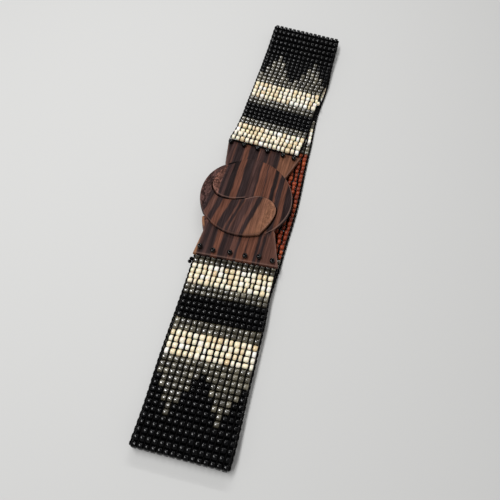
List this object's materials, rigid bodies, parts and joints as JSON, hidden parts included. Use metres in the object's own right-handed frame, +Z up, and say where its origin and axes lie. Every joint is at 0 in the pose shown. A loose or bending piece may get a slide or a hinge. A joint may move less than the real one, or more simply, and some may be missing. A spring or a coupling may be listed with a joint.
{
  "type": "beaded belt",
  "caption": "Stretch belt of glass beads on elastic cords in a banded zigzag pattern, with a hooked round clasp of carved striped wood, fastened and folded flat.",
  "frame": {"origin": "middle of the folded belt's box, on the surface that it lies on", "axes": "+Y along the folded belt towards the fold beyond the clasp's upper plate, +X across it to the right, +Z up through the clasp"},
  "size_m": [0.073, 0.3736, 0.0164],
  "materials": {
    "beads": "glossy glass beads in black, clear grey, cream and orange red",
    "wood": "waxed dark striped wood",
    "stop_beads": "glossy black glass"
  },
  "bodies": {
    "root": {"beaded_band": "beads", "clasp_half_upper": "wood", "clasp_half_lower": "wood", "stop_bead_upper_1": "stop_beads", "stop_bead_upper_2": "stop_beads", "stop_bead_upper_3": "stop_beads", "stop_bead_upper_4": "stop_beads", "stop_bead_upper_5": "stop_beads", "stop_bead_upper_6": "stop_beads", "stop_bead_lower_1": "stop_beads", "stop_bead_lower_2": "stop_beads", "stop_bead_lower_3": "stop_beads", "stop_bead_lower_4": "stop_beads", "stop_bead_lower_5": "stop_beads", "stop_bead_lower_6": "stop_beads"}
  },
  "joints": []
}
